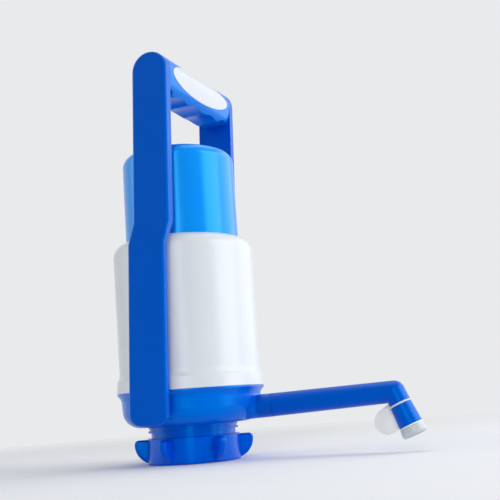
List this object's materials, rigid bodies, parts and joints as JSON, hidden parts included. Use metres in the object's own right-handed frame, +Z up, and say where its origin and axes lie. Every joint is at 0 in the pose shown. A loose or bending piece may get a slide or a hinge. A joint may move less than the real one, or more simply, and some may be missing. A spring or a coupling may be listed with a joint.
{
  "type": "water jug hand pump",
  "caption": "Hand pump for a large water jug: split collar with winged nut, cup and white housing with a press cap over a bellows, tilted spout with plug lid, and a folding carrying handle.",
  "frame": {"origin": "centre of the split collet's mouth, in the plane the winged nut stands on", "axes": "+Z up along the pump's axis, +X along the spout, Y through the handle's studs"},
  "size_m": [0.2239, 0.1236, 0.2915],
  "materials": {
    "blue_plastic": "gloss",
    "bright_blue_plastic": "gloss",
    "dark_blue_plastic": "gloss",
    "white_plastic": "gloss",
    "clear_plastic": "gloss",
    "rubber": "matte",
    "steel": "satin"
  },
  "bodies": {
    "pump_body": {"base_cup": "blue_plastic", "neck_collet": "blue_plastic", "neck_gasket": "rubber", "water_duct": "white_plastic", "duct_seal": "rubber", "valve_plate": "white_plastic", "plate_screws": "steel", "bellows": "rubber", "lower_bellows_band": "steel", "return_spring": "steel", "pump_housing": "white_plastic"},
    "nut": {"clamp_nut": "blue_plastic"},
    "check_valve": {"check_flap": "rubber"},
    "cap": {"press_cap": "bright_blue_plastic", "plunger_plate": "white_plastic", "plunger_screws": "steel", "upper_bellows_band": "steel"},
    "intake_valve": {"intake_flap": "rubber"},
    "handle": {"handle_frame": "blue_plastic", "grip_panel": "white_plastic", "pivot_clips": "steel"},
    "spout": {"spout_tube": "dark_blue_plastic", "spout_oring": "rubber", "nozzle_sleeve": "dark_blue_plastic", "nozzle_tip": "clear_plastic"},
    "tether": {"tether_ring": "white_plastic"},
    "lid": {"spout_lid": "white_plastic"}
  },
  "joints": [
    {"name": "nut_turn", "type": "hinge", "parent": "pump_body", "child": "nut", "pos_m": [0, 0, 0], "axis": [0, 0, 1], "range_deg": [-180, 180]},
    {"name": "press_stroke", "type": "slide", "parent": "pump_body", "child": "cap", "axis": [0, 0, -1], "range_m": [0, 0.045], "stiffness_N_per_m": 380, "springref_m": -0.021, "deforming": ["bellows", "return_spring"]},
    {"name": "check_disc_slide", "type": "slide", "parent": "pump_body", "child": "check_valve", "axis": [0, 0, -1], "range_m": [0, 0.0015], "stiffness_N_per_m": 20, "springref_m": -0.001},
    {"name": "intake_disc_slide", "type": "slide", "parent": "cap", "child": "intake_valve", "axis": [0, 0, -1], "range_m": [0, 0.0015], "stiffness_N_per_m": 20, "springref_m": -0.001},
    {"name": "handle_fold", "type": "hinge", "parent": "pump_body", "child": "handle", "pos_m": [0, 0, 0.038], "axis": [0, 1, 0], "range_deg": [-90, 85]},
    {"name": "spout_swivel", "type": "hinge", "parent": "pump_body", "child": "spout", "pos_m": [0, 0, 0.0337], "axis": [0.9995, 0, 0.0332], "range_deg": [-180, 180]},
    {"name": "tether_turn", "type": "hinge", "parent": "spout", "child": "tether", "pos_m": [0.15162, 0, 0.03873], "axis": [0.3746, 0, -0.9272], "range_deg": [-180, 180]},
    {"name": "lid_swing", "type": "hinge", "parent": "tether", "child": "lid", "pos_m": [0.14505, 0, 0.02669], "axis": [0, 1, 0], "range_deg": [0, 30]}
  ]
}
